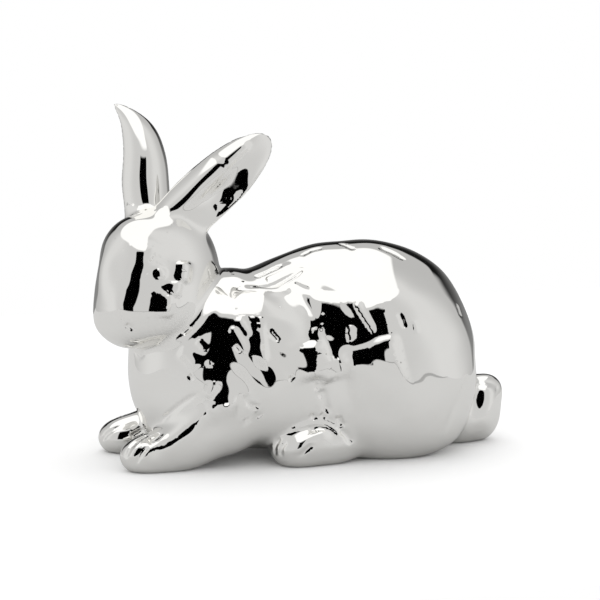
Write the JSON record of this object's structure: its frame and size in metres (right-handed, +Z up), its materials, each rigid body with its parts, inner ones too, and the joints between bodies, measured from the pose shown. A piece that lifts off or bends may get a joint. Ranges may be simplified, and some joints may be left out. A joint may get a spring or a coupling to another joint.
{
  "type": "rabbit figurine",
  "caption": "Crouching rabbit figurine with a turned head, raised ears and outstretched forepaws, hollow silver-plated castings with a rubber drain plug in the belly, free-standing ornament",
  "frame": {"origin": "on the ground, in the middle of the figurine's bounding box", "axes": "the rabbit faces -X, its left side is towards -Y, +Z is up"},
  "size_m": [0.155, 0.0684, 0.127],
  "materials": {
    "silver_plate": "mirror-polished silver plate",
    "plug_rubber": "moulded matte rubber"
  },
  "bodies": {
    "figurine": {"body_shell_left": "silver_plate", "body_shell_right": "silver_plate", "head_shell": "silver_plate", "ear_left": "silver_plate", "ear_right": "silver_plate", "foreleg_left": "silver_plate", "foreleg_right": "silver_plate", "hind_foot_left": "silver_plate", "hind_foot_right": "silver_plate", "tail": "silver_plate"},
    "plug": {"belly_plug": "plug_rubber"}
  },
  "joints": [
    {"name": "plug_pull", "type": "slide", "parent": "figurine", "child": "plug", "axis": [0, 0, -1], "range_m": [0, 0.012]}
  ]
}
